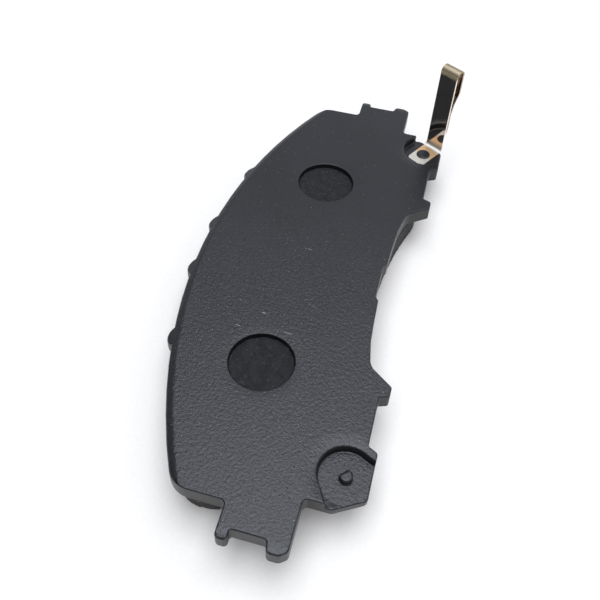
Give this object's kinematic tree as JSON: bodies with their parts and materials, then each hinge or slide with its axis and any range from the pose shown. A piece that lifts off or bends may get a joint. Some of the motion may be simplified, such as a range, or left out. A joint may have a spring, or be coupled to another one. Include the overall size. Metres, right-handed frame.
{
  "type": "disc brake pad",
  "caption": "Disc brake pad: black steel back plate with forked ears, plug-filled holes and corner pockets, chamfered slotted friction block, and a riveted spring-strip wear indicator.",
  "frame": {"origin": "on the friction face, midway between the two round plugs of the back plate", "axes": "+X along the pad towards the end with the wear indicator; +Y away from the disc's centre, towards the outer arc; +Z away from the disc, out of the back of the plate"},
  "size_m": [0.1856, 0.075, 0.0503],
  "materials": {
    "plate_coat": "black powder coat with a fine orange peel",
    "underlayer": "rough moulded friction compound, dark",
    "friction": "rough moulded and ground friction compound with fine flecks",
    "spring_strip": "bright rolled spring steel with a faint straw tint"
  },
  "bodies": {
    "pad": {"backing_plate": "plate_coat", "underlayer": "underlayer", "friction_block": "friction", "indicator_foot": "spring_strip"},
    "arm": {"indicator_arm": "spring_strip"},
    "return_leg": {"indicator_leg": "spring_strip"}
  },
  "joints": [
    {"name": "bend_flex", "type": "hinge", "parent": "pad", "child": "arm", "pos_m": [0.07432, -0.03514, 0.01517], "axis": [-0.4939, -0.8695, 0], "range_deg": [-3, 3], "stiffness_Nm_per_rad": 1.5},
    {"name": "hairpin_flex", "type": "hinge", "parent": "arm", "child": "return_leg", "pos_m": [0.07651, -0.03638, 0.04995], "axis": [-0.4939, -0.8695, 0], "range_deg": [0, 5], "stiffness_Nm_per_rad": 0.8}
  ]
}
